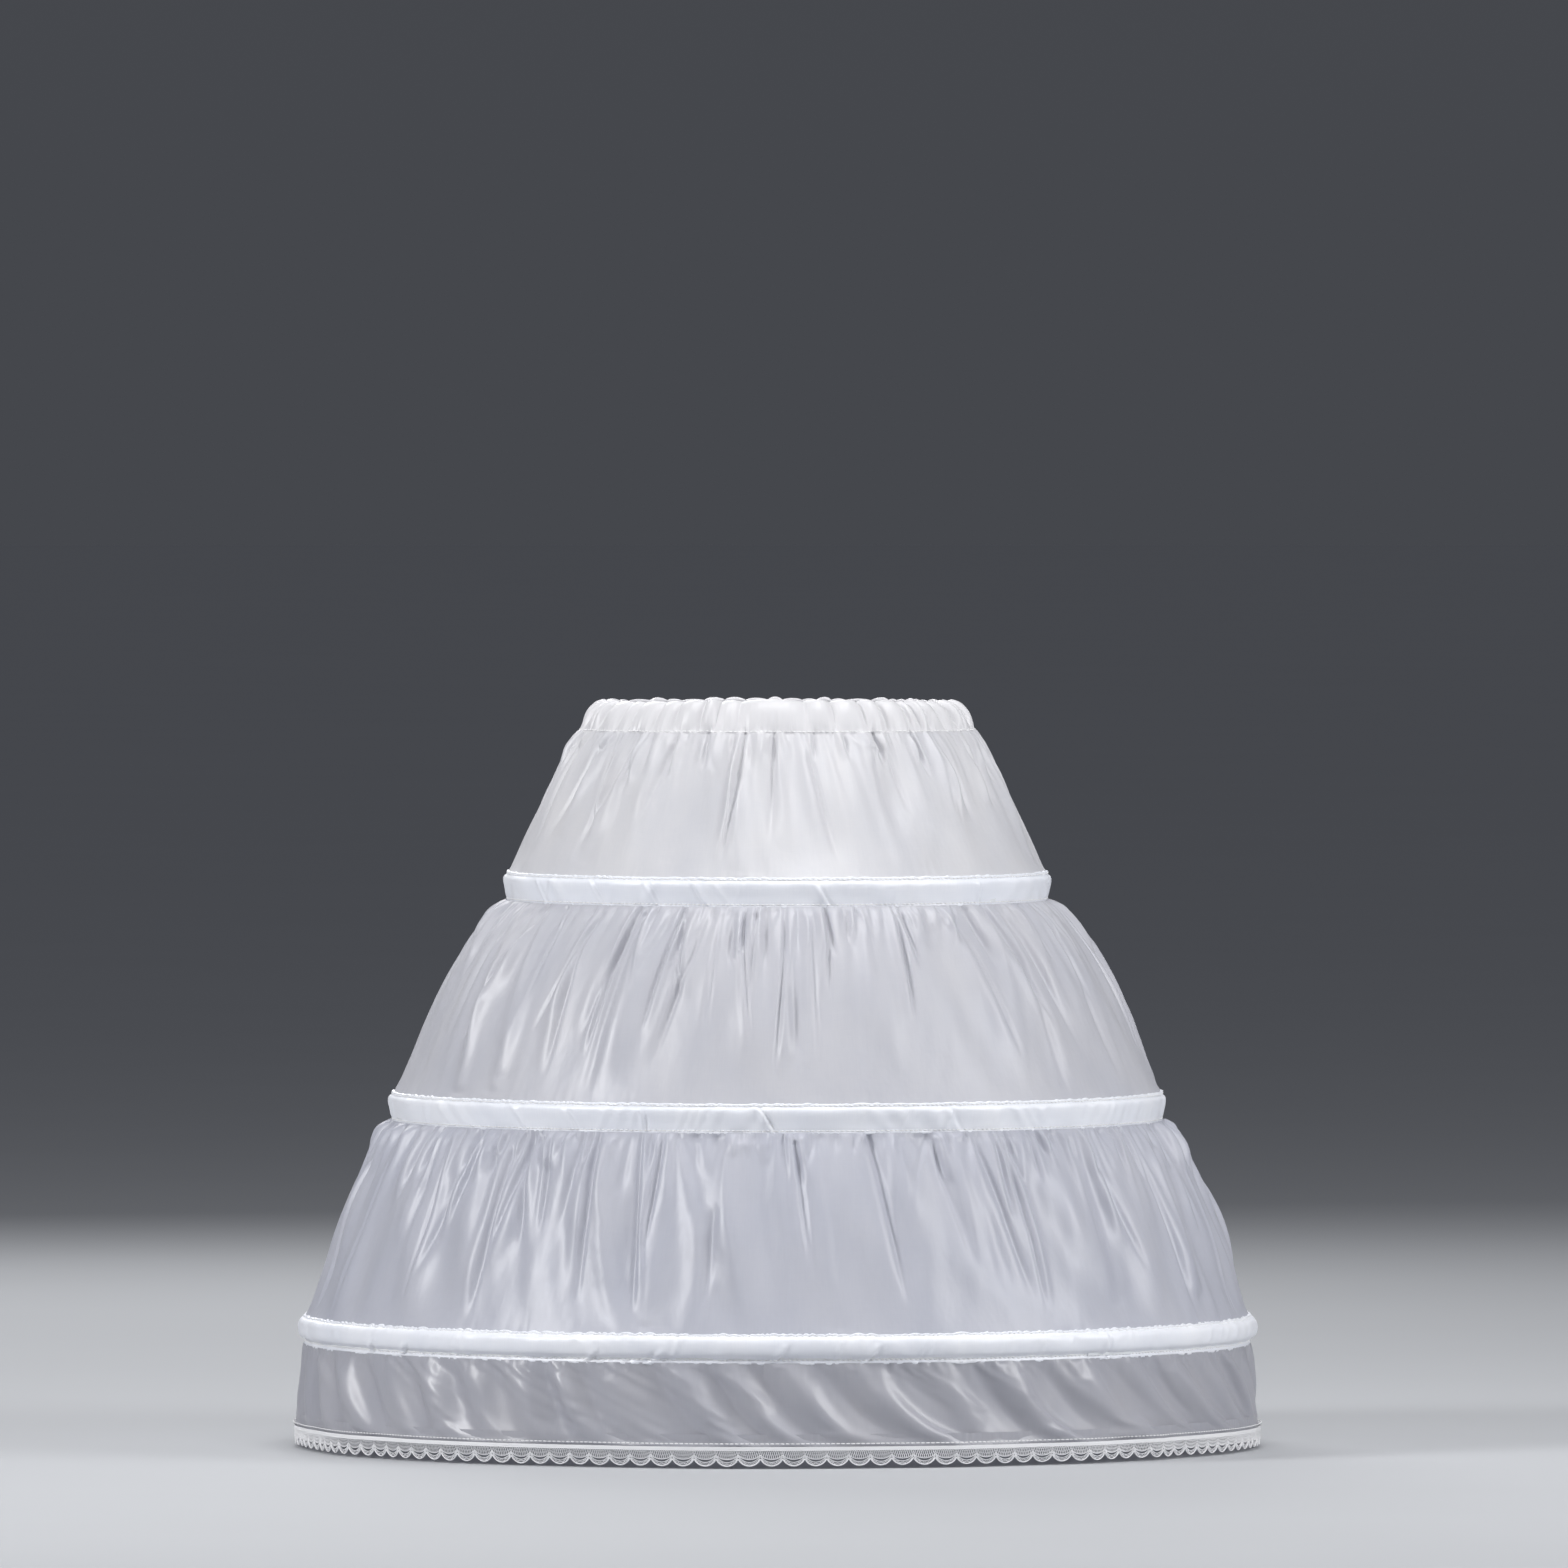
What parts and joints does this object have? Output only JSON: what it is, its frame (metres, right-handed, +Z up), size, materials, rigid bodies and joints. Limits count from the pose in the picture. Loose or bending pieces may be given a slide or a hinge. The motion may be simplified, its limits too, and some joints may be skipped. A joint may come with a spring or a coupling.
{
  "type": "hoop petticoat",
  "caption": "Child's A-line crinoline petticoat: sprung hoops in sewn casings joined by gathered sheer taffeta tiers, with an elastic waist, a hem band and scalloped lace edging.",
  "frame": {"origin": "centre of the waist opening, level with its top edge", "axes": "+Z up through the waist opening, -Y the wearer's front, +X to the right of a viewer who faces the front"},
  "size_m": [0.5803, 0.5804, 0.4455],
  "materials": {
    "taffeta": "thin white lining taffeta, soft satin sheen, slightly sheer",
    "casing_taffeta": "the same taffeta in two layers, brighter and less sheer",
    "lace": "white scalloped nylon lace",
    "hoop_strip": "white flat sprung plastic strip",
    "joiner": "milky moulded plastic sleeve",
    "elastic": "white ribbed woven elastic"
  },
  "bodies": {
    "root": {"waist_elastic": "elastic", "top_tier": "taffeta", "middle_tier": "taffeta", "lower_tier": "taffeta", "hem_band": "taffeta", "lace_edging": "lace", "upper_hoop_casing": "casing_taffeta", "upper_hoop": "hoop_strip", "upper_hoop_joiner": "joiner", "middle_hoop_casing": "casing_taffeta", "middle_hoop": "hoop_strip", "middle_hoop_joiner": "joiner", "lower_hoop_casing": "casing_taffeta", "lower_hoop": "hoop_strip", "lower_hoop_joiner": "joiner"}
  },
  "joints": []
}
